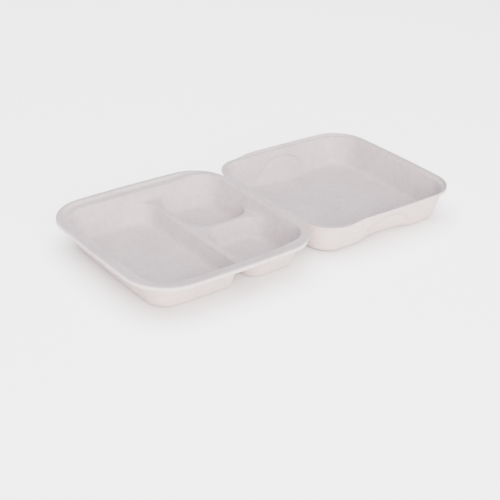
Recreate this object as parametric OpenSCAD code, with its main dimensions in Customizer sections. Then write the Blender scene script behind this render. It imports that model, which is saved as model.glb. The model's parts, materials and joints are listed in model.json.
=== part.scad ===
// Moulded fibre clamshell food container, three compartments, lying open.
// The fold line runs along Y. The base lies on its -X side and the lid on its +X side.
// Z is up, both halves rest on z = 0 and the open container is centred on the origin.
// All sizes are in millimetres.

/* [Sheet] */
// thickness of the pressed fibre sheet
sheet = 0.9; // [0.6:0.1:1.4]
// slope of the walls away from vertical, in degrees
draft = 13; // [9:1:17]

/* [Base outline] */
// overall size across, from the fold line to the free edge
base_w = 224; // [206:1:246]
// overall size along the fold line
base_d = 229; // [210:1:250]
// overall height of the base
base_h = 38.5; // [38:0.5:45]
// outer corner radius of the rim
corner_r = 44; // [38:1:50]
// how far the middle of each free side bows outwards
side_bow = 3.5; // [0:0.5:5]

/* [Base rim] */
// width of the raised outer lip
lip_w = 5; // [4:0.5:7]
// depth of the ledge below the lip
recess_h = 3.4; // [2.4:0.2:4.2]
// width of the ledge between the lip and the mouth
ledge_w = 10; // [8:0.5:12]
// depth of the turned-down outer edge
skirt_h = 4; // [3:0.5:6]

/* [Compartments] */
// distance from the fold line to the middle of the long divider
divider_x = 92; // [84:1:104]
// how far the divider tops lie below the lip
divider_drop = 15; // [12:0.5:18]
// flat width along the top of a divider
divider_flat = 3; // [2:0.5:5]
// rounding radius along the edges of a divider top
divider_round = 3.2; // [2.4:0.2:4]
// corner radius of the compartments beside the dividers, seen from above
pan_corner_r = 24; // [16:1:28]
// fillet radius between walls and floor in the base
floor_fillet = 8; // [6:0.5:10]

/* [Lid] */
// height of the lid from its rim face to its outer bottom
lid_h = 36.5; // [32:0.5:38]
// width of the lid rim
lid_rim_w = 5.5; // [4.5:0.5:7]
// fillet radius between walls and floor in the lid
lid_fillet = 6.5; // [5:0.5:9]
// width of the arched panel in each side wall, at the floor
arch_w = 86; // [70:1:98]
// height of the arched panel above the lid floor
arch_h = 27.5; // [18:0.5:30]
// how far the foot of the arched panel stands into the lid
arch_in = 8; // [4:0.5:9]

/* [Fold] */
// width of the flat strip on the base side of the fold line
fold_strip = 8; // [6:0.5:10]
// width of the flat strip on the lid side of the fold line
lid_fold_strip = 6.5; // [5:0.5:8]
// open gap at the fold line between the two halves
fold_gap = 0.4; // [0.3:0.1:0.6]
// gap between the two rim faces when the lid is shut
shut_gap = 0.3; // [0.2:0.1:0.6]
// side clearance between the lid lip and the raised lip when shut
lip_clear = 0.9; // [0.7:0.1:1.5]

/* [Hidden] */

// level run of the slope between the ledge and the lip
slope_run = 1.2;
// rim width outside the mouth of the base on its three free sides
band = ledge_w + slope_run + lip_w;
// shift of the underside of the slope, which keeps the sheet even
slope_shift = sheet * tan(atan2(recess_h, slope_run) / 2);
// height of the ledge
ledge_z = base_h - recess_h;
// rounding of the outer edges
edge = 0.5;
// height of the divider tops
web_z = base_h - divider_drop;
// wall thickness measured level, across a sloped wall
level_sheet = sheet / cos(draft);
// straight outline of the base before the sides are bowed
base_x = base_w - side_bow;
base_y = base_d / 2 - side_bow;
// straight outline of the lid, whose upturned lip closes down onto the ledge
lid_inset = lip_w + slope_run + lip_clear;
lid_x = base_x - lid_inset;
lid_y = base_y - lid_inset;
lid_r = corner_r - lid_inset;
lid_lip_h = recess_h;
// the turning axis, half a shut gap above the lip
axis_z = base_h + shut_gap / 2;
// segments in each corner and each fillet
corner_steps = 8;
fillet_steps = 5;
// small step between the upper wall and the compartments
shoulder = 0.3;
// how far a compartment cut reaches up past the divider tops, and out at that height
cut_up = 0.4;
cut_out = 0.06;
// rounding where a rim turns down into a wall
mouth_round = 1.6;
// shape of the arched panels: 2 is a parabola, more is a flatter top
arch_shape = 2.4;

// level distance from the lid mouth to the edge of the flat lid floor
lid_foot = (lid_h - sheet - lid_fillet) * tan(draft) + lid_fillet / cos(draft);
// droop of the open lid, so that the far edge of its bottom rests on z = 0
lid_reach = (lid_x - lid_rim_w - lid_foot) * (1 + side_bow / base_x);
lid_drop = lid_h + shut_gap / 2;
lid_droop = asin(axis_z / norm([lid_reach, lid_drop])) - atan2(lid_drop, lid_reach);

// place of the fold line, so that the open container is centred in X
lip_far = lid_x * (1 + side_bow / base_x);
lid_end = lip_far * cos(lid_droop) + (lid_lip_h - shut_gap / 2) * sin(lid_droop);
fold_x = (base_w - lid_end) / 2;

// where the recess and the lid lip begin and reach full height, as distances from the fold line
recess_from = 9;
recess_full = 30;
lip_from = 46;
lip_full = 64;

// points of one corner arc
function corner(cx, cy, r, from) =
    [for (i = [0 : corner_steps]) let (a = from + 90 * i / corner_steps) [cx + r * cos(a), cy + r * sin(a)]];

// points strictly between p and q
function between(p, q, steps) =
    [for (i = [1 : 1 : steps - 1]) p + (q - p) * i / steps];

// rounded rectangle from x0, y0 to x1, y1; r holds the radii at x1y1, x0y1, x0y0 and x1y0
function outline(x0, x1, y0, y1, r, nx, ny) = concat(
    corner(x1 - r[0], y1 - r[0], r[0], 0),
    between([x1 - r[0], y1], [x0 + r[1], y1], nx),
    corner(x0 + r[1], y1 - r[1], r[1], 90),
    between([x0, y1 - r[1]], [x0, y0 + r[2]], ny),
    corner(x0 + r[2], y0 + r[2], r[2], 180),
    between([x0 + r[2], y0], [x1 - r[3], y0], nx),
    corner(x1 - r[3], y0 + r[3], r[3], 270),
    between([x1, y0 + r[3]], [x1, y1 - r[0]], ny));

// barrel shape: sides bow outwards, the fold line stays straight
function bowed(p) = [
    p[0] * (1 + side_bow / base_x * (1 - pow(p[1] / base_y, 2))),
    p[1] * (1 + side_bow / base_y * (1 - pow(2 * abs(p[0]) / base_x - 1, 2)))];

// smooth growth from 0 to 1 while the distance from the fold line goes from a to b
function grown(x, a, b) =
    let (s = max(0, min(1, (abs(x) - a) / (b - a)))) s * s * (3 - 2 * s);

// distance outside the mouth, squeezed so that the rim width fits into the strip beside the fold line
function squeezed(e, width, strip) =
    e < 1 ? e : 1 + (e - 1) * (strip - fold_gap / 2 - 1) / (width - 1);

// solid through a stack of rings with equal point counts, closed flat at both ends
module stack(rings) {
    n = len(rings[0]);
    last = len(rings) - 1;
    sides = [for (k = [0 : last - 1]) for (i = [0 : n - 1])
        [k * n + i, k * n + (i + 1) % n, (k + 1) * n + (i + 1) % n, (k + 1) * n + i]];
    halves = [for (f = sides) for (h = [[f[0], f[2], f[1]], [f[0], f[3], f[2]]]) h];
    first_cap = [for (i = [0 : n - 1]) i];
    last_cap = [for (i = [n - 1 : -1 : 0]) last * n + i];
    polyhedron(points = [for (r = rings) for (p = r) p],
        faces = concat([first_cap], halves, [last_cap]), convexity = 6);
}

// one ring round the base: e is the distance outside the mouth, drop the recess away from the fold line
function base_ring(e, z, drop = 0) =
    let (
        x0 = -(base_x - band) - e,
        x1 = -fold_strip + squeezed(e, band, fold_strip),
        hy = base_y - band + e,
        r = corner_r - band + e)
    [for (p = outline(x0, x1, -hy, hy, [r, r, r, r], 6, 6))
        let (b = bowed(p)) [b[0], b[1], z - drop * grown(p[0], recess_from, recess_full)]];

// level distance from the mouth line to the inner face of the wall at height z
function wall_in(z) = (ledge_z - z) * tan(draft);

// upper wall and rim of the base, closed below by the sheet that holds the compartments
module base_rim() {
    under = base_h - sheet;
    slope_end = ledge_w + slope_run;
    stack([
        base_ring(level_sheet - wall_in(web_z - sheet), web_z - sheet),
        base_ring(level_sheet - wall_in(ledge_z - sheet), under, recess_h),
        base_ring(ledge_w + slope_shift, under, recess_h),
        base_ring(slope_end + slope_shift, under),
        base_ring(band - sheet, under),
        base_ring(band - sheet, under, skirt_h - sheet),
        base_ring(band, under, skirt_h - sheet),
        base_ring(band, base_h - edge),
        base_ring(band - edge, base_h),
        base_ring(slope_end, base_h),
        base_ring(ledge_w, base_h, recess_h),
        base_ring(mouth_round, base_h, recess_h),
        base_ring(mouth_round / 3, base_h - mouth_round / 5, recess_h),
        base_ring(-wall_in(ledge_z - mouth_round), base_h - mouth_round, recess_h),
        base_ring(-wall_in(web_z), web_z)]);
}

// one ring of a compartment: inset a on sides along the outer wall, inset b on sides along a divider
function pan_ring(big, a, b, z) =
    let (
        x_far = -(base_x - band) + a,
        x_near = -fold_strip - a,
        y_far = base_y - band - a,
        half = divider_flat / 2,
        x0 = big ? x_far : -divider_x + half + b,
        x1 = big ? -divider_x - half - b : x_near,
        y0 = big ? -y_far : half + b,
        outer_r = corner_r - band - a,
        inner_r = max(pan_corner_r - b, 4),
        r = big ? [inner_r, outer_r, outer_r, inner_r] : [outer_r, inner_r, inner_r, inner_r])
    [for (p = outline(x0, x1, y0, y_far, r, 4, 4))
        let (q = bowed(p)) [q[0], q[1], z]];

// rings of a compartment on one face of the sheet: s is 0 on the food side and sheet beneath
function pan_rings(big, s) =
    let (
        flare_z = web_z - divider_round,
        floor_z = sheet + floor_fillet,
        run = (flare_z + (divider_round + floor_fillet) * sin(draft) - floor_z) / cos(draft),
        fillet_b = (divider_round + floor_fillet) * cos(draft) + run * sin(draft),
        fillet_a = shoulder + wall_in(floor_z) + floor_fillet / cos(draft),
        flare = divider_round - s,
        fillet = floor_fillet + s,
        off = s / cos(draft))
    concat(
        s > 0 ? [] : [pan_ring(big, shoulder + wall_in(web_z) - cut_out, 0, web_z + cut_up)],
        [for (i = [0 : fillet_steps - 1])
            let (t = (90 - draft) * i / (fillet_steps - 1), z = flare_z + flare * cos(t))
            pan_ring(big, shoulder + wall_in(z) - off, flare * sin(t), z)],
        [for (i = [0 : fillet_steps])
            let (t = draft + (90 - draft) * i / fillet_steps, z = floor_z - fillet * sin(t))
            pan_ring(big, fillet_a - fillet * cos(t), fillet_b - fillet * cos(t), z)]);

// solid of one compartment, stacked from the floor up
module pan(big, s) {
    rings = pan_rings(big, s);
    last = len(rings) - 1;
    stack([for (k = [0 : last]) rings[last - k]]);
}

// the three compartments
module pans(s) {
    pan(true, s);
    pan(false, s);
    mirror([0, 1, 0]) pan(false, s);
}

// base with one large and two small compartments
module base_tray() {
    color([0.93, 0.91, 0.86])
    translate([fold_x, 0, 0])
    difference() {
        union() {
            base_rim();
            pans(sheet);
        }
        pans(0);
    }
}

// inward push of the arched panel at x and at height h above the lid floor
function arch_push(x, h) =
    let (u = abs(x - lid_x / 2) / (arch_w / 2))
    arch_in * max(0, 1 - pow(u, arch_shape) - max(h, 0) / arch_h);

// one ring round the lid: e is the distance outside the mouth, h the height used for the arched panels
function lid_ring(e, z, h, rise = 0) =
    let (
        x0 = lid_fold_strip - squeezed(e, lid_rim_w, lid_fold_strip),
        x1 = lid_x - lid_rim_w + e,
        hy = lid_y - lid_rim_w + e,
        r = lid_r - lid_rim_w + e)
    [for (p = outline(x0, x1, -hy, hy, [r, r, r, r], 22, 6))
        let (
            b = bowed(p),
            push = h < arch_h && abs(p[1]) > 0.8 * hy ? arch_push(p[0], h) : 0)
        [b[0], b[1] - sign(b[1]) * push, z + rise * grown(p[0], lip_from, lip_full)]];

// rings down one wall of the lid: s is 0 inside and sheet outside
function lid_wall(s) =
    let (
        floor_z = sheet - lid_h,
        mid_z = floor_z + lid_fillet,
        top_h = lid_h - sheet - mouth_round)
    concat(
        [for (f = [1, 0.72, 0.5, 0.3])
            let (
                low = lid_fillet * (1 - sin(draft)),
                h = low + (top_h - low) * f,
                z = floor_z + h)
            lid_ring(z * tan(draft) + s / cos(draft), z, h)],
        [for (i = [0 : fillet_steps])
            let (
                t = draft + (90 - draft) * i / fillet_steps,
                h = lid_fillet * (1 - sin(t)),
                z = mid_z - (lid_fillet + s) * sin(t))
            lid_ring((lid_fillet + s) * cos(t) - lid_foot, z, h)]);

// the lid in its own frame: rim face at z = 0, fold line at x = 0
module lid_shell() {
    outer = lid_wall(sheet);
    inner = lid_wall(0);
    stack(concat(
        [for (k = [len(outer) - 1 : -1 : 0]) outer[k]],
        [
            lid_ring(level_sheet, -sheet, lid_h),
            lid_ring(lid_rim_w - edge, -sheet, lid_h),
            lid_ring(lid_rim_w, edge - sheet, lid_h),
            lid_ring(lid_rim_w, 0, lid_h, lid_lip_h),
            lid_ring(lid_rim_w - sheet, 0, lid_h, lid_lip_h),
            lid_ring(lid_rim_w - sheet, 0, lid_h),
            lid_ring(mouth_round, 0, lid_h),
            lid_ring(mouth_round / 3, -mouth_round / 5, lid_h)],
        inner));
}

// lid swung open until its bottom rests on the ground
module lid() {
    color([0.94, 0.92, 0.88])
    translate([fold_x, 0, axis_z])
    rotate([0, lid_droop, 0])
    translate([0, 0, -shut_gap / 2])
    lid_shell();
}

base_tray();
lid();
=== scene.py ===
# %% [markdown]
# A clamshell food container pressed from sugar cane fibre, lying open. The real one is a single
# sheet about a millimetre thick: wet pulp is drawn onto a wire screen, pressed between hot moulds
# and trimmed. Here it is built the same way, as one sheet that runs from the skirt of the base,
# through its three compartments, across the fold and into the lid.

# %% The frame
import json
import math
import bmesh
import bpy
import numpy as np
from mathutils import Matrix, Vector
from mathutils.geometry import delaunay_2d_cdt

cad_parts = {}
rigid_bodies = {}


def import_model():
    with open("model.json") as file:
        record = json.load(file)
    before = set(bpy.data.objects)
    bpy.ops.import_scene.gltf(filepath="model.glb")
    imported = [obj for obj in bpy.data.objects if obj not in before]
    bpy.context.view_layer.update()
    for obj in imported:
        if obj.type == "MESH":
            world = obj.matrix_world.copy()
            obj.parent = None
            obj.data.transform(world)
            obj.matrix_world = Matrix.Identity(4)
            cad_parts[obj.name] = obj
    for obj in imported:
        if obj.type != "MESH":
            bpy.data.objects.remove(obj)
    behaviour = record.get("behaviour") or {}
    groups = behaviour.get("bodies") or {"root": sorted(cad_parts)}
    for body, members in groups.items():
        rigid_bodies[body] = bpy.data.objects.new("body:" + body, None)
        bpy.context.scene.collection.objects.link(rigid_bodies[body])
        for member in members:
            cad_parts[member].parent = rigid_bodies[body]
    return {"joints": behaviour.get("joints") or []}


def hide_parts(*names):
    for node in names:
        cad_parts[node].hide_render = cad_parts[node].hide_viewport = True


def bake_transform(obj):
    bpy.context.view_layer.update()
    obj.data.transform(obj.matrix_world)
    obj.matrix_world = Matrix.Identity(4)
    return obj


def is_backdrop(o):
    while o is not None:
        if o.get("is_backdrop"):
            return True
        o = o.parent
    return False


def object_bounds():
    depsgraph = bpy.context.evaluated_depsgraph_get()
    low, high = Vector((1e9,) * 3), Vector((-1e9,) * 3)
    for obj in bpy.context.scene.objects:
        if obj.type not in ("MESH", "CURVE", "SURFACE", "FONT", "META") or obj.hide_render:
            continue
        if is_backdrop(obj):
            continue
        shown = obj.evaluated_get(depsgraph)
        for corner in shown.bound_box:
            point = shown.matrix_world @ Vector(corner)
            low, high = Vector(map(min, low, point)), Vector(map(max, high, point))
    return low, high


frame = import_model()
cad_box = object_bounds()
hinge = frame["joints"][0]
FOLD_X, _, AXIS_Z = (1000 * v for v in hinge["pos_m"])
DROOP = math.radians(hinge["range_deg"][1] - 180)
print("fold at x", round(FOLD_X, 3), "mm, axis at z", round(AXIS_Z, 3),
      "mm, lid droops", round(math.degrees(DROOP), 2), "degrees")

# %% [markdown]
# The sizes are those of the CAD part, in millimetres. The fold line is x = 0 while the sheet is
# made; the base lies on the -x side. A distance `e` is counted outwards from the mouth of a half,
# so the wall has e below zero and the rim has e above zero.

# %% Sizes
SHEET, DRAFT, BOW = 0.9, math.radians(13), 3.5
BASE_X, BASE_Y, TOP, CORNER = 220.5, 111.0, 38.5, 44.0
LIP_W, SLOPE_RUN, RECESS, LEDGE_W, SKIRT = 5.0, 1.2, 3.4, 10.0, 4.0
BAND, LEDGE = LEDGE_W + SLOPE_RUN + LIP_W, TOP - RECESS
DIVIDER_X, HALF_FLAT, DIVIDER_ROUND, PAN_R, FILLET = 92.0, 1.5, 3.2, 24.0, 8.0
DIVIDER_DROP = 15.0
WEB = TOP - DIVIDER_DROP                              # height of the divider tops
LID_H, LID_RIM, LID_FILLET, LIP_CLEAR = 36.5, 5.5, 6.5, 0.9
LID_INSET = LIP_W + SLOPE_RUN + LIP_CLEAR             # edge of the lid inside that of the base
ARCH_W, ARCH_H, ARCH_POWER, ARCH_IN = 86.0, 27.5, 2.4, 8.0
ARCH_EDGE, GROOVE = 0.8, 1.7
FOLD, LID_FOLD = 8.0, 6.5                             # widths of the flat strips beside the fold
SKIRT_FADE, RECESS_FADE, LIP_FADE = (9, 30), (30, 64), (34, 64)     # grow between these, from the fold
EARLY_RECESS = 0.25                                   # share of the recess that grows with the skirt
FAR_X, SIDE_Y = CORNER - BASE_X, BASE_Y - CORNER      # where the corner arcs begin
BIG_X = -DIVIDER_X - HALF_FLAT - PAN_R                # where compartment corners leave the wall
SMALL_X = -DIVIDER_X + HALF_FLAT + PAN_R
SMALL_Y = HALF_FLAT + PAN_R
TAN, COS = math.tan(DRAFT), math.cos(DRAFT)
print("rim band", BAND, "mm, divider tops at", WEB, "mm")

# %% [markdown]
# Every ring of the container is a rounded rectangle whose corner arcs keep the same centres, so a
# ring is fully given by three numbers: how far it reaches from the fold, where it lies beside the
# fold and how far it reaches sideways. All rings are divided alike, which lets the compartments
# share their outer points with the wall above them.

# %% Rings
N_ARC, N_GAP = 20, 30                                 # steps in a corner, and beside a divider
PIECES = [N_GAP, 11, N_ARC, 9, N_GAP, 16, N_ARC, 36, N_ARC, 16, N_GAP, 9, N_ARC, 11]
LID_PIECES = [N_GAP, 11, N_ARC, 12, 44, 44, N_ARC, 30, N_ARC, 44, 44, 12, N_ARC, 11]
AT = np.cumsum([0] + PIECES)


def line(a, b, n):
    """n points that divide the straight line from a to b evenly; b itself is left out."""
    t = np.arange(n) / n
    ends = zip(np.broadcast_arrays(*a), np.broadcast_arrays(*b))
    return np.stack([p + (q - p) * t for p, q in ends], -1)


def arc(centre, r, start, n):
    """n points of a quarter circle: centre plus r times (cos, sin) of an angle from start on."""
    a = np.radians(start + 90 * np.arange(n) / n)
    return np.stack([centre[0] + r * np.cos(a), centre[1] + r * np.sin(a)], -1)


def lap(far, near, side, pieces=PIECES):
    """One closed round per row: from the fold side on, counter-clockwise seen from above."""
    far, near, side = (np.asarray(v, float)[:, None] for v in (far, near, side))
    r, c = side - SIDE_Y, near - (side - SIDE_Y)
    p = iter(pieces)
    return np.concatenate([
        line((near, -SMALL_Y), (near, SMALL_Y), next(p)),
        line((near, SMALL_Y), (near, SIDE_Y), next(p)),
        arc((c, SIDE_Y), r, 0, next(p)),
        line((c, side), (SMALL_X, side), next(p)),
        line((SMALL_X, side), (BIG_X, side), next(p)),
        line((BIG_X, side), (FAR_X, side), next(p)),
        arc((FAR_X, SIDE_Y), r, 90, next(p)),
        line((far, SIDE_Y), (far, -SIDE_Y), next(p)),
        arc((FAR_X, -SIDE_Y), r, 180, next(p)),
        line((FAR_X, -side), (BIG_X, -side), next(p)),
        line((BIG_X, -side), (SMALL_X, -side), next(p)),
        line((SMALL_X, -side), (c, -side), next(p)),
        arc((c, -SIDE_Y), r, 270, next(p)),
        line((near, -SIDE_Y), (near, -SMALL_Y), next(p))], 1)


def bowed(p):
    """Barrel shape: x and y grow by a share that falls with the squared distance from the middle."""
    x, y = p[..., 0], p[..., 1]
    return np.stack([x * (1 + BOW / BASE_X * (1 - (y / BASE_Y) ** 2)),
                     y * (1 + BOW / BASE_Y * (1 - (2 * np.abs(x) / BASE_X - 1) ** 2))], -1)


def grown(x, a, b):
    """Smooth step t * t * (3 - 2 t), from 0 to 1 while the size of x goes from a to b."""
    t = np.clip((np.abs(x) - a) / (b - a), 0, 1)
    return t * t * (3 - 2 * t)


def squeezed(e, width, strip):
    """Rim width squeezed evenly into the narrower strip beside the fold, from 1 mm outwards."""
    return np.where(e < 1, e, 1 + (e - 1) * (strip - 1) / (width - 1))


def rounded(points, cuts, longest):
    """Profile through points: straight lines cut into lengths, a parabola over each inner corner."""
    points = np.array(points, float)
    rows, last = [], points[0]
    for k, cut in enumerate(cuts, 1):
        before, corner, after = points[k - 1], points[k], points[k + 1]
        a = corner + cut * (before - corner) / np.linalg.norm(before - corner)
        b = corner + cut * (after - corner) / np.linalg.norm(after - corner)
        n = max(1, math.ceil(np.linalg.norm(a - last) / longest))
        rows.append(last + (a - last) * (np.arange(n) / n)[:, None])
        t = (np.arange(6) / 6)[:, None]
        rows.append((1 - t) ** 2 * a + 2 * t * (1 - t) * corner + t * t * b)
        last = b
    n = max(1, math.ceil(np.linalg.norm(points[-1] - last) / longest))
    rows.append(last + (points[-1] - last) * (np.arange(n + 1) / n)[:, None])
    return np.concatenate(rows)


def faces_between(rows, count, flip=False):
    """Four-sided faces between neighbouring rows of a closed grid of points."""
    i, j = np.meshgrid(np.arange(rows - 1), np.arange(count), indexing="ij")
    k = (j + 1) % count
    here, there = i * count, (i + 1) * count
    f = np.stack([here + j, here + k, there + k, there + j], -1).reshape(-1, 4)
    return f[:, ::-1] if flip else f


def floor_rows(ring, shares):
    """Flat floor: the last ring drawn in towards its middle by each share in turn."""
    middle = ring.mean(0)
    return middle + (ring - middle) * np.asarray(shares)[:, None, None]


print("points in a ring:", AT[-1])

# %% [markdown]
# The rim of the base is the most worked part of the sheet. From outside to inside it has a
# turned-down skirt, a raised lip, a slope down to the ledge that takes the lid, and a rounded
# mouth. Towards the fold the recess fades over a long stretch and the skirt over a short one, into
# one flat strip, so that the sheet can bend there. The rows of the skirt are laid flat side by side
# there rather than on top of each other, which keeps the mesh clean.

# %% Rim and upper wall of the base
EDGE_CUT, LIP_CUT, LEDGE_CUT, MOUTH_CUT = 1.2, 0.9, 0.8, 1.8     # how far the roundings reach
LONGEST = 1.8                                                   # straight step of the profile
profile = rounded([(BAND, -SKIRT), (BAND, 0), (LEDGE_W + SLOPE_RUN, 0), (LEDGE_W, -RECESS),
                   (0, -RECESS), ((WEB - LEDGE) * TAN, WEB - TOP)],
                  [EDGE_CUT, LIP_CUT, LEDGE_CUT, MOUTH_CUT], LONGEST)
e, depth = profile.T
skirt_rows = (e > BAND - EDGE_CUT - 0.1).sum()
flat_e = e.copy()
flat_e[:skirt_rows] = np.linspace(BAND, BAND - EDGE_CUT, skirt_rows)
flat_wall = (depth + RECESS) * (WEB - TOP) / (WEB - LEDGE)
flat_depth = np.where(e > MOUTH_CUT + 0.1, 0, flat_wall)


def base_lap(e):
    """Rows round the base at the distances e outside its mouth, squeezed beside the fold."""
    return lap(BAND - BASE_X - e, -FOLD + squeezed(e, BAND, FOLD), BASE_Y - BAND + e)


plan = base_lap(e)
in_skirt = (np.arange(len(e)) < skirt_rows)[:, None]
early, late = (grown(plan[..., 0], *span) for span in (SKIRT_FADE, RECESS_FADE))
fade = np.where(in_skirt, early, EARLY_RECESS * early + (1 - EARLY_RECESS) * late)[..., None]
plan = base_lap(flat_e) * (1 - fade) + plan * fade
height = flat_depth[:, None] * (1 - fade[..., 0]) + depth[:, None] * fade[..., 0]
rim = np.dstack([bowed(plan), TOP + height])
print("base rim rows:", len(rim), "of them in the skirt:", skirt_rows)

# %% [markdown]
# Below the divider tops the hollow splits into one large and two small compartments. Each is a
# stack of rounded rectangles too: `a` insets the sides along the wall, `b` those along a divider,
# where the sheet first turns over the divider top in a quarter round. Both end in the same floor
# fillet.

# %% Compartments
N_TURN = 16                                           # points in a corner beside a divider
turn = np.linspace(0, math.pi / 2 - DRAFT, 8)[:, None]
low = np.linspace(DRAFT, math.pi / 2, 10)[:, None]
flare_z, fillet_z = WEB - DIVIDER_ROUND, SHEET + FILLET
foot_a = (LEDGE - fillet_z) * TAN + FILLET / COS
reach = DIVIDER_ROUND + FILLET
run = (flare_z + reach * math.sin(DRAFT) - fillet_z) / COS
foot_b = reach * COS + run * math.sin(DRAFT)
over = np.hstack([DIVIDER_ROUND * np.sin(turn), flare_z + DIVIDER_ROUND * np.cos(turn)])
into = np.hstack([foot_b - FILLET * np.cos(low), fillet_z - FILLET * np.sin(low)])
wall = over[-1] + (into[0] - over[-1]) * (np.arange(1, 4) / 4)[:, None]
b, z = np.concatenate([over, wall, into]).T
a = np.where(z > into[0, 1], (LEDGE - z) * TAN, foot_a - foot_b + b)
outer = lap(BAND - BASE_X + a, -FOLD - a, BASE_Y - BAND - a)
y_far, x_near, r = (v[:, None] for v in (BASE_Y - BAND - a, -FOLD - a, PAN_R - b))
big = np.concatenate([
    outer[:, AT[5]:AT[10]],
    arc((BIG_X, r - y_far), r, 270, N_TURN),
    line((BIG_X + r, r - y_far), (BIG_X + r, y_far - r), 44),
    arc((BIG_X, y_far - r), r, 0, N_TURN)], 1)
small = np.concatenate([
    outer[:, AT[1]:AT[4]],
    arc((SMALL_X, y_far - r), r, 90, N_TURN),
    line((SMALL_X - r, y_far - r), (SMALL_X - r, SMALL_Y), 12),
    arc((SMALL_X, SMALL_Y), r, 180, N_TURN),
    line((SMALL_X, SMALL_Y - r), (x_near - r, SMALL_Y - r), 8),
    arc((x_near - r, SMALL_Y), r, 270, N_TURN)], 1)
shares = np.linspace(0.9, 0.02, 8)


def pan(rings):
    """Rings of one compartment lifted to their heights, with its floor drawn in to the middle."""
    walls = np.dstack([bowed(rings), np.broadcast_to(z[:, None], rings.shape[:2])])
    return np.concatenate([walls, floor_rows(walls[-1], shares)])


big_pan, small_pan = pan(big), pan(small)
print("compartment rows:", len(big_pan), "points a row:", big.shape[1], "and", small.shape[1])

# %% [markdown]
# The divider tops form a T between the compartments. It is the only patch that no ring describes,
# so its outline is collected from the neighbours and filled with triangles over an even scatter of
# points. The patch stays flat here; it gets its run-out into the wall later.

# %% Divider tops
ring = lap([BAND - BASE_X + a[0]], [-FOLD - a[0]], [BASE_Y - BAND - a[0]])[0]
small_in = small[0, AT[4] - AT[1]:]
big_in = big[0, AT[10] - AT[5]:]
mirror = np.array([1, -1])
edge = bowed(np.concatenate([
    ring[:AT[1] + 1], small_in[:0:-1], ring[AT[4]:AT[5] + 1], big_in[:0:-1],
    ring[AT[10]:AT[11]], small_in * mirror]))
DOT = 1.5                                             # side of the triangles, rows 0.866 of it apart
gx, gy = np.meshgrid(np.arange(-130, 0, DOT), np.arange(-110, 110, DOT * 0.866))
gx = gx + DOT / 2 * (np.arange(len(gx)) % 2)[:, None]
dots = np.column_stack([gx.ravel(), gy.ravel()])
nxt = np.roll(edge, -1, 0)                            # inside: a ray crosses the edge an odd time
crosses = (edge[:, 1] > dots[:, 1:]) != (nxt[:, 1] > dots[:, 1:])
with np.errstate(divide="ignore", invalid="ignore"):
    along = (dots[:, 1:] - edge[:, 1]) / (nxt[:, 1] - edge[:, 1])
    at_x = edge[:, 0] + along * (nxt[:, 0] - edge[:, 0])
inside = (crosses & (dots[:, :1] < at_x)).sum(1) % 2 == 1
gap = np.sqrt(((dots[:, None] - edge) ** 2).sum(2).min(1))
dots = dots[inside & (gap > DOT / 2)]
outline = [list(range(len(edge)))]                    # 1 keeps only the triangles inside it
filled = delaunay_2d_cdt(np.vstack([edge, dots]).tolist(), [], outline, 1, 1e-5)
web_points = np.column_stack([np.array(filled[0]), np.full(len(filled[0]), WEB)])
web_faces = np.array(filled[2])
print("divider tops:", len(web_points), "points,", len(web_faces), "triangles")

# %% [markdown]
# The lid is a plain dish. Its rim ends in a low upturned lip that closes down onto the ledge of the
# base. An arched panel leans inwards at the foot of each side wall and stiffens it: its edge is an
# arch whose height falls with a power of the distance along the wall, with a narrow groove that
# runs out before the foot. Below the arch the push grows in a straight line towards the floor. The
# rows of the wall slide up and down so that they follow the groove exactly.

# %% Lid
foot = (LID_H - SHEET - LID_FILLET) * TAN + LID_FILLET / COS
mid = SHEET - LID_H + LID_FILLET
wall_low = LID_FILLET * (1 - math.sin(DRAFT))         # height where the floor fillet ends
MOUTH = 2.2                                           # height of the rounded mouth
wall_high = LID_H - SHEET - MOUTH                     # height where the mouth rounding begins
LINE, LINE_UP, LINE_DOWN = 17.0, 0.55, 0.7            # groove row away from the arch, and its reach
upper = rounded([(LID_RIM - SHEET, RECESS), (LID_RIM - SHEET, 0), (0, 0), (-MOUTH * TAN, -MOUTH)],
                [0.9, 1.7], 1.0)
wall_h = np.concatenate([np.linspace(wall_high, LINE + 0.9, 14)[1:],
                         LINE + np.array([LINE_UP, 0.25, 0, -0.3, -LINE_DOWN]),
                         np.linspace(LINE - 1.5, wall_low, 10)])
wall_z = SHEET - LID_H + wall_h
t = np.linspace(DRAFT, math.pi / 2, 12)[1:]
lower = np.column_stack([LID_FILLET * np.cos(t) - foot, mid - LID_FILLET * np.sin(t)])
e, depth = np.vstack([upper, np.column_stack([wall_z * TAN, wall_z]), lower]).T
lip_rows = (depth > 0).sum()
flat_e = e.copy()
flat_e[:lip_rows] = np.linspace(LID_RIM, LID_RIM - SHEET - 0.5, lip_rows)


def lid_lap(e):
    """Rows round the lid at the distances e outside its mouth, squeezed beside the fold."""
    return lap(LID_INSET + LID_RIM - BASE_X - e, -LID_FOLD + squeezed(e, LID_RIM, LID_FOLD),
               BASE_Y - LID_INSET - LID_RIM + e, LID_PIECES)


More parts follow.
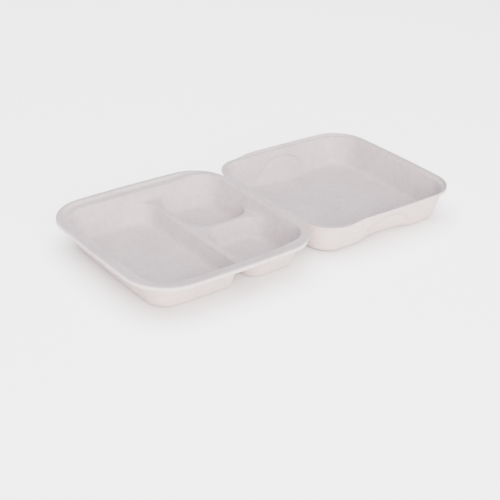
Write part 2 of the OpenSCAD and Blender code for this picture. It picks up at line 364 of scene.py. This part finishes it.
plan = lid_lap(e)
lift = grown(plan[..., 0], *LIP_FADE)[..., None]
plan = lid_lap(flat_e) * (1 - lift) + plan * lift
height = depth[:, None] * np.where((depth > 0)[:, None], lift[..., 0], 1)
x, y = plan[..., 0], plan[..., 1]
side = np.abs(y) > 0.7 * BASE_Y
u = np.abs(np.abs(x) - (BASE_X - LID_INSET) / 2) / (ARCH_W / 2)
arch = ARCH_H * (1 - u ** ARCH_POWER)
h = height - (SHEET - LID_H)
on_wall = side & (h > wall_low) & (h < wall_high)
LOWEST = 7.0                                          # the groove row never slides below this
line_h = np.maximum(arch, LOWEST)
line_h = np.where(side, line_h + (LINE - line_h) * grown(u, 1.0, 1.4), LINE)
below, above = LINE - LINE_DOWN, LINE + LINE_UP
higher = wall_high - (wall_high - h) * (wall_high - line_h - LINE_UP) / (wall_high - above)
deeper = wall_low + (h - wall_low) * (line_h - LINE_DOWN - wall_low) / (below - wall_low)
slid = np.where(h > above, higher, np.where(h < below, deeper, h + line_h - LINE))
slide = np.where(on_wall, slid - h, 0)
h, height = h + slide, height + slide
plan[..., 1] += np.sign(y) * slide * TAN
under = arch - h
ledge = ARCH_EDGE * grown(np.maximum(under, 0), 0, 0.7) - GROOVE * (1 - grown(under, 0.05, 0.75))
ledge *= 1 - grown(u, 0.78, 0.90)                     # groove and step run out before the foot
lean = (ARCH_IN - ARCH_EDGE) * np.clip(under / ARCH_H, 0, 1)
plan = bowed(plan)
plan[..., 1] -= np.sign(y) * side * (ledge + lean)
dish = np.dstack([plan, height])
dish = np.concatenate([dish, floor_rows(dish[-1], np.linspace(0.93, 0.02, 11))])
x, zz = -dish[..., 0], dish[..., 2] + TOP - AXIS_Z
dish[..., 0] = x * math.cos(DROOP) + zz * math.sin(DROOP)
dish[..., 2] = AXIS_Z - x * math.sin(DROOP) + zz * math.cos(DROOP)
print("lid rows:", len(dish), "of them in the lip:", lip_rows)

# %% [markdown]
# All patches are joined into one mesh, and points that fall together are merged: along the fold and
# along the tops of the compartments. Four flat caps close the floors in their middles.

# %% One sheet
def patch(rows, flip=False, capped=True):
    """Points and faces of a stack of rings, and the face that closes the last ring."""
    last = np.arange(rows[..., 0].size)[-rows.shape[1]:]
    caps = [last[::-1] if flip else last] if capped else []
    return rows.reshape(-1, 3), faces_between(*rows.shape[:2], flip), caps


patches = [patch(rim, capped=False), patch(big_pan), patch(small_pan),
           patch(small_pan * [1, -1, 1], flip=True), (web_points, web_faces, []),
           patch(dish, flip=True)]
starts = np.cumsum([0] + [len(p) for p, _, _ in patches])
points = np.concatenate([p for p, _, _ in patches])
polygons = sum([(f + k).tolist() for (_, f, _), k in zip(patches, starts)], [])
polygons += [(cap + k).tolist() for (_, _, caps), k in zip(patches, starts) for cap in caps]
mesh = bpy.data.meshes.new("fibre_container")
mesh.from_pydata((points * 0.001).tolist(), [], polygons)
bm = bmesh.new()
bm.from_mesh(mesh)
bmesh.ops.remove_doubles(bm, verts=bm.verts, dist=2e-5)
bmesh.ops.dissolve_degenerate(bm, edges=bm.edges, dist=5e-6)
bm.to_mesh(mesh)
bm.free()
uses = np.empty(len(mesh.loops), int)
mesh.loops.foreach_get("edge_index", uses)
uses = np.bincount(uses)
print("sheet:", len(mesh.vertices), "points,", len(mesh.polygons), "faces,", (uses == 1).sum(),
      "edge lengths on the rim,", (uses > 2).sum(), "faulty")

# %% [markdown]
# Pressed pulp has no sharp inner corners: where a divider runs into the wall the sheet sweeps up
# in a soft hollow. The points near these three places are drawn towards the mean of their
# neighbours some tens of times, less and less with distance, which gives that sweep.

# %% Run-outs of the dividers
SMOOTH_FULL, SMOOTH_END = 3, 11                       # distances from the bends, in mm
SMOOTH_SHARE, SMOOTH_TIMES = 0.5, 24
co = np.empty(len(mesh.vertices) * 3)
mesh.vertices.foreach_get("co", co)
co = co.reshape(-1, 3) * 1000
pairs = np.empty(len(mesh.edges) * 2, int)
mesh.edges.foreach_get("vertices", pairs)
pairs = pairs.reshape(-1, 2)
ends = np.concatenate([pairs[:, 0], pairs[:, 1]])
other = np.concatenate([pairs[:, 1], pairs[:, 0]])
degree = np.bincount(ends, minlength=len(co))[:, None]
bends = bowed(np.concatenate([ring[AT[k]:AT[k + 1] + 1] for k in (0, 4, 10)]))
bends = np.column_stack([bends, np.full(len(bends), WEB)])
near = np.flatnonzero(np.abs(co[:, 2] - WEB) < SMOOTH_END + 3)
away = np.full(len(co), 99.0)
away[near] = np.sqrt(((co[near, None] - bends) ** 2).sum(2).min(1))
weight = (1 - grown(away, SMOOTH_FULL, SMOOTH_END))[:, None] * SMOOTH_SHARE
for _ in range(SMOOTH_TIMES):
    total = np.column_stack([np.bincount(ends, co[other, k], len(co)) for k in range(3)])
    mean = total / degree
    co += weight * (mean - co)
print("points drawn into the run-outs:", int((weight > 0.01).sum()))

# %% [markdown]
# The fold is a scored line: the press leaves two shallow grooves beside it. The whole sheet is also
# a little uneven, because wet pulp shrinks as it dries; a sum of a few dozen plane waves with seeded
# directions gives that. The rims stay flatter than the walls because a press trims them, and the
# floors because they stand on a table.

# %% Score lines and unevenness
SCORE_X, SCORE_W, SCORE_DEPTH = 2.3, 0.75, 0.42
from_fold = np.abs(co[:, 0])
score = np.exp(-((from_fold - SCORE_X) / SCORE_W) ** 2) * (from_fold < 5)
score *= np.clip((SIDE_Y + 4 - np.abs(co[:, 1])) / 6, 0, 1)
co[:, 2] -= SCORE_DEPTH * score
mesh.vertices.foreach_set("co", (co * 0.001).ravel())
mesh.update()
normal = np.empty(len(co) * 3)
mesh.vertices.foreach_get("normal", normal)
normal = normal.reshape(-1, 3)
rng = np.random.default_rng(7)
waves = 40
length = rng.uniform(9, 60, waves)
way = rng.normal(size=(waves, 3))
way *= (2 * math.pi / length / np.linalg.norm(way, axis=1))[:, None]
size = 0.022 * np.sqrt(length / 30)
swell = np.sin(co @ way.T + rng.uniform(0, 6.28, waves)) @ size
rim_z = np.where(co[:, 0] < 0, TOP, TOP - np.abs(co[:, 0]) * math.sin(DROOP))
calm = np.clip((rim_z - co[:, 2] - 3) / 6, 0.12, 1) * np.clip((co[:, 2] - 0.2) / 4, 0.15, 1)
co += normal * (swell * calm)[:, None]
co[:, 0] += FOLD_X
mesh.vertices.foreach_set("co", (co * 0.001).ravel())
mesh.update()
print("swell from", round(swell.min(), 3), "to", round(swell.max(), 3), "mm")

# %% [markdown]
# The sheet gets its thickness from a Solidify modifier that grows away from the food side, so the
# food side stays where the rings put it. The food side, the underside and the trimmed edge each
# have their own material slot.

# %% The container
sheet = bpy.data.objects.new("fibre_container", mesh)
bpy.context.scene.collection.objects.link(sheet)
mesh.polygons.foreach_set("use_smooth", np.ones(len(mesh.polygons), bool))
solid = sheet.modifiers.new("thickness", "SOLIDIFY")
solid.thickness = SHEET * 0.001
solid.offset = -1
solid.use_even_offset = False
solid.material_offset = 1
solid.material_offset_rim = 2
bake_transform(sheet)
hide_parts("base_tray", "lid")
print("container bends between", hinge["parent"], "and", hinge["child"])

# %% [markdown]
# Pressed cane fibre is a warm off-white felt: cloudy where the pulp lay thicker, in wide drifts and
# in clumps of a few millimetres, with short fibres in every direction and a few tan flecks of bark.
# An image of real pulp could be laid on, but it would stretch over the walls. One node group gives
# clouds, fibres, flecks and a height instead, from the object's own coordinates in metres, so the
# grain keeps its real scale everywhere.

# %% Finish
def node(tree, kind, inputs=None, **settings):
    """New node with its properties and inputs set; a socket given as a value becomes a link."""
    n = tree.nodes.new(kind)
    for k, val in settings.items():
        setattr(n, k, val)
    for k, val in (inputs or {}).items():
        if isinstance(val, bpy.types.NodeSocket):
            tree.links.new(val, n.inputs[k])
        else:
            n.inputs[k].default_value = val
    return n


def math_node(tree, operation, a, b=0.0, clamp=False):
    """Result socket of one arithmetic step."""
    return node(tree, "ShaderNodeMath", {0: a, 1: b}, operation=operation, use_clamp=clamp).outputs[0]


def noise(tree, where, scale, detail, rough=0.5, distortion=0.0):
    """Noise value around 0.5 at so many features per metre."""
    values = {"Vector": where, "Scale": scale, "Detail": detail, "Roughness": rough,
              "Distortion": distortion}
    return node(tree, "ShaderNodeTexNoise", values).outputs["Fac"]


def ramp(tree, value, low, high):
    """Value stretched so that low becomes 0 and high becomes 1."""
    values = {"Value": value, "From Min": low, "From Max": high}
    return node(tree, "ShaderNodeMapRange", values, clamp=True).outputs[0]


pulp = bpy.data.node_groups.new("pressed_fibre", "ShaderNodeTree")
for name in ("Cloud", "Fibre", "Fleck", "Height"):
    pulp.interface.new_socket(name, in_out="OUTPUT", socket_type="NodeSocketFloat")
where = node(pulp, "ShaderNodeTexCoord").outputs["Object"]
drifts, clumps, flocs = (
    math_node(pulp, "MULTIPLY", noise(pulp, where, scale, detail), share)
    for scale, detail, share in ((22, 3, 0.36), (140, 3, 0.34), (420, 2, 0.30)))
cloud = math_node(pulp, "ADD", math_node(pulp, "ADD", drifts, clumps), flocs)
strands = []
for k, turn in enumerate(((0.3, 0.2, 0.5), (1.2, 0.9, 1.7), (0.5, 1.9, 2.6))):
    values = {"Vector": where, "Rotation": turn, "Scale": (260, 2400, 2400), "Location": (k, 2 * k, 0)}
    laid = node(pulp, "ShaderNodeMapping", values).outputs[0]
    strands.append(ramp(pulp, noise(pulp, laid, 1, 2, 0.5, 0.6), 0.58, 0.76))
fibre = math_node(pulp, "MAXIMUM", math_node(pulp, "MAXIMUM", strands[0], strands[1]), strands[2])
values = {"Vector": where, "Rotation": (0.4, 0.8, 0.9), "Scale": (170, 420, 420)}
cells = node(pulp, "ShaderNodeMapping", values).outputs[0]
bark = node(pulp, "ShaderNodeTexVoronoi", {"Vector": cells, "Scale": 1.0}, feature="F1").outputs
dot = ramp(pulp, bark["Distance"], 0.22, 0.10)
chance = node(pulp, "ShaderNodeSeparateColor", {"Color": bark["Color"]}).outputs[0]
rare = ramp(pulp, chance, 0.80, 0.96)
grain = noise(pulp, where, 1300, 4, 0.6)
height = math_node(pulp, "ADD", math_node(pulp, "MULTIPLY", grain, 0.6),
                   math_node(pulp, "MULTIPLY", fibre, 0.4))
node(pulp, "NodeGroupOutput", {"Cloud": ramp(pulp, cloud, 0.40, 0.60), "Fibre": fibre,
                               "Fleck": math_node(pulp, "MULTIPLY", dot, rare), "Height": height})


def mixed(tree, share, first, second):
    """Colour socket between two colours: the first where share is 0, the second where it is 1."""
    values = {"Factor": share, 6: first, 7: second}
    return node(tree, "ShaderNodeMix", values, data_type="RGBA").outputs[2]


STRAND, BARK = (0.93, 0.89, 0.84, 1), (0.50, 0.36, 0.22, 1)
WIRES = 5200.0                                        # radians a metre, a wire every 1.2 mm


def fibre_material(name, light, dark, roughness, bump, screen=0.0):
    """Off-white felt between two tints; screen is the depth of the wire imprint in the surface."""
    m = bpy.data.materials.new(name)
    m.use_nodes = True
    t = m.node_tree
    t.nodes.clear()
    g = node(t, "ShaderNodeGroup", node_tree=pulp)
    tint = mixed(t, g.outputs["Cloud"], (*dark, 1), (*light, 1))
    tint = mixed(t, math_node(t, "MULTIPLY", g.outputs["Fibre"], 0.24), tint, STRAND)
    tint = mixed(t, math_node(t, "MULTIPLY", g.outputs["Fleck"], 0.65), tint, BARK)
    height = g.outputs["Height"]
    if screen:
        place = node(t, "ShaderNodeTexCoord").outputs["Object"]
        xyz = node(t, "ShaderNodeSeparateXYZ", {"Vector": place}).outputs
        wires = [math_node(t, "SINE", math_node(t, "MULTIPLY", c, WIRES)) for c in xyz]
        imprint = math_node(t, "ADD", math_node(t, "ADD", wires[0], wires[1]), wires[2])
        height = math_node(t, "ADD", height, math_node(t, "MULTIPLY", imprint, screen))
    bumped = node(t, "ShaderNodeBump", {"Strength": bump, "Distance": 0.0004, "Height": height})
    rough = math_node(t, "ADD", math_node(t, "MULTIPLY", g.outputs["Height"], 0.12), roughness)
    shader = node(t, "ShaderNodeBsdfPrincipled", {"Base Color": tint, "Roughness": rough,
                  "Normal": bumped.outputs[0], "Specular IOR Level": 0.25, "Sheen Weight": 0.06,
                  "Sheen Roughness": 0.6})
    node(t, "ShaderNodeOutputMaterial", {"Surface": shader.outputs[0]})
    return m


for finish in (
        ("fibre_food_side", (0.722, 0.639, 0.655), (0.607, 0.531, 0.547), 0.74, 0.7),
        # The underside's tints are darker than the food side's: painted shade for the outer walls,
        # which stand in shade.
        ("fibre_underside_painted_shade", (0.690, 0.575, 0.562), (0.576, 0.471, 0.460), 0.80, 0.8, 0.10),
        ("fibre_trimmed_edge", (0.76, 0.67, 0.65), (0.68, 0.59, 0.57), 0.86, 0.8)):
    mesh.materials.append(fibre_material(*finish))
print("materials:", [m.name for m in mesh.materials])

# %% [markdown]
# A pale floor runs out of the picture, and soft light stands for a studio tent: one broad, slightly
# warm key from the front left, a weak lamp overhead and a cool pale light all round. White pulp shows
# its shape only by small steps of shade, so the surround is strong and the lamps are weak. A wide lamp
# that lights nothing but the floor makes it almost white, as a backdrop is lit apart from the object,
# so that the rims stand out against it while the floor still takes their shadow.

# %% Floor and light
floor_mesh = bpy.data.meshes.new("floor")
half = 6.0
floor_mesh.from_pydata([(-half, -half, 0), (half, -half, 0), (half, half, 0), (-half, half, 0)],
                       [], [(0, 1, 2, 3)])
floor = bpy.data.objects.new("floor", floor_mesh)
bpy.context.scene.collection.objects.link(floor)
paint = bpy.data.materials.new("pale_floor")
paint.use_nodes = True
shade = paint.node_tree.nodes["Principled BSDF"]
shade.inputs["Base Color"].default_value = (0.97, 0.97, 0.97, 1)
shade.inputs["Roughness"].default_value = 0.9
floor_mesh.materials.append(paint)
floor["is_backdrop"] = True


def lamp(name, place, size, watts, colour):
    """Square area lamp that looks from place to the middle of the container."""
    light = bpy.data.lights.new(name, "AREA")
    light.size, light.energy, light.color = size, watts, colour
    o = bpy.data.objects.new(name, light)
    aim = (-Vector(place)).to_track_quat("-Z", "Y")
    o.matrix_world = Matrix.Translation(place) @ aim.to_matrix().to_4x4()
    bpy.context.scene.collection.objects.link(o)
    return o


lamp("key", (-0.75, -2.0, 1.0), 1.8, 138, (1.0, 0.92, 0.855))
lamp("top", (-0.2, 0.2, 2.0), 1.8, 10, (0.96, 0.94, 1.0))
wash = lamp("floor_wash", (0.0, 0.3, 3.0), 4.0, 420, (1.0, 1.0, 1.0))
washed = bpy.data.collections.new("washed")
washed.objects.link(floor)
wash.light_linking.receiver_collection = washed
world = bpy.data.worlds.new("tent")
world.use_nodes = True
sky = world.node_tree.nodes["Background"].inputs
sky["Color"].default_value, sky["Strength"].default_value = (0.955, 0.94, 1.0, 1), 1.1
bpy.context.scene.world = world
print("three lamps and a pale surround")

# %% [markdown]
# The camera stands where the picture was taken: found by matching the rims of both halves, it looks
# down at about 29 degrees over the free corner of the base, through a longish lens.

# %% Camera
az, el, roll = (math.radians(v) for v in (-38.6, 28.75, 2.37))
AIM_X, AIM_Y, DISTANCE = -86.0, -88.9, 1.129          # in mm from the fold, and metres away
back = Vector((math.sin(az) * math.cos(el), -math.cos(az) * math.cos(el), math.sin(el)))
right = Vector((math.cos(az), math.sin(az), 0))
up = back.cross(right)
cos_roll, sin_roll = math.cos(roll), math.sin(roll)
right, up = right * cos_roll + up * sin_roll, up * cos_roll - right * sin_roll
target = Vector((FOLD_X + AIM_X, AIM_Y, TOP)) / 1000
camera = bpy.data.cameras.new("camera")
camera.lens, camera.sensor_width = 78.1, 36
camera.dof.use_dof = False
eye = bpy.data.objects.new("camera", camera)
place = target + back * DISTANCE
turned = [[right[k], up[k], back[k], place[k]] for k in range(3)]
eye.matrix_world = Matrix(turned + [[0, 0, 0, 1]])
bpy.context.scene.collection.objects.link(eye)
bpy.context.scene.camera = eye
print("camera at", [round(v, 3) for v in place])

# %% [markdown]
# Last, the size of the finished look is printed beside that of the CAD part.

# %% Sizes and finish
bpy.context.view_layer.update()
for name, box in (("cad", cad_box), ("visual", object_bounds())):
    print(name, "box", [[round(c, 4) for c in v] for v in box])
